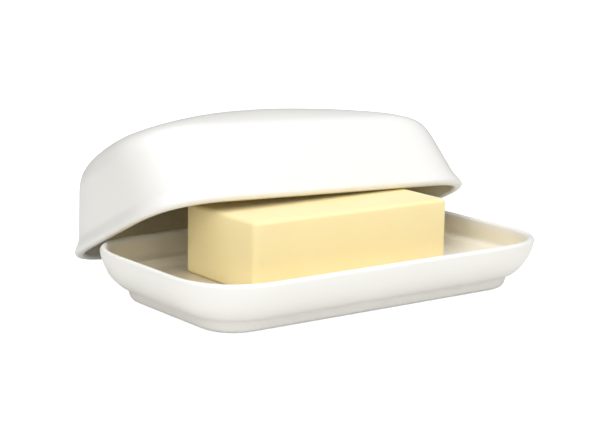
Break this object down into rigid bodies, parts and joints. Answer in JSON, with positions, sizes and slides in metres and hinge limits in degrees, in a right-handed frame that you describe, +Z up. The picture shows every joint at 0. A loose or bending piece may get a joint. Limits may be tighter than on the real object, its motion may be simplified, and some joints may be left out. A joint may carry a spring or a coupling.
{
  "type": "butter dish",
  "caption": "Oblong glazed porcelain butter dish on a foot ring, with a separate domed lid propped open on a block of butter.",
  "frame": {"origin": "centre of the dish's foot ring, on the surface it stands on", "axes": "+X along the dish's length, towards the end where the lid lies on the butter; +Y across it, towards the side the lid leans to; +Z up"},
  "size_m": [0.2008, 0.156, 0.0814],
  "materials": {
    "dish_glaze": "gloss",
    "lid_glaze": "gloss",
    "butter": "satin"
  },
  "bodies": {
    "dish": {"dish": "dish_glaze", "butter": "butter"},
    "lid": {"lid": "lid_glaze"}
  },
  "joints": [
    {"name": "lid_lift", "type": "slide", "parent": "dish", "child": "lid", "axis": [0, 0, 1], "range_m": [0, 0.1]}
  ]
}
